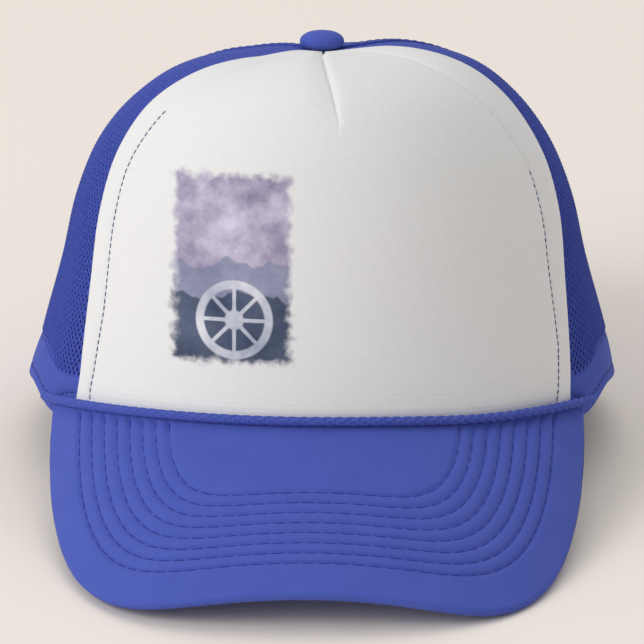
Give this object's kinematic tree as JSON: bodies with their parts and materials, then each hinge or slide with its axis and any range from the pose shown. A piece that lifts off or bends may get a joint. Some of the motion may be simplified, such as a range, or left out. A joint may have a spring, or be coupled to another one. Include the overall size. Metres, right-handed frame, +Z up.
{
  "type": "trucker cap",
  "caption": "Cap with a foam front panel, net sides and back, a curved sewn visor, a braid along its root and a strap across the back arch.",
  "frame": {"origin": "middle of the bottom of the bounding box, on the floor that the cap rests on", "axes": "+Z up, -Y the way the visor points, +X to the right of somebody who faces the cap"},
  "size_m": [0.1896, 0.254, 0.1311],
  "materials": {
    "front_foam": "matt white knit over thin foam",
    "net": "polyester net, slight sheen",
    "binding": "woven tape, matt",
    "visor_cloth": "plain-woven cloth, matt",
    "braid": "braided cord, matt",
    "sweatband": "soft woven cloth, matt",
    "strap": "moulded, satin",
    "button_cloth": "plain-woven cloth, matt"
  },
  "bodies": {
    "root": {"front_panel": "front_foam", "side_panel_left": "net", "side_panel_right": "net", "back_panel_left": "net", "back_panel_right": "net", "rim_binding_left": "binding", "rim_binding_right": "binding", "arch_binding": "binding", "visor": "visor_cloth", "braid": "braid", "sweatband": "sweatband", "back_strap": "strap", "button": "button_cloth"}
  },
  "joints": []
}
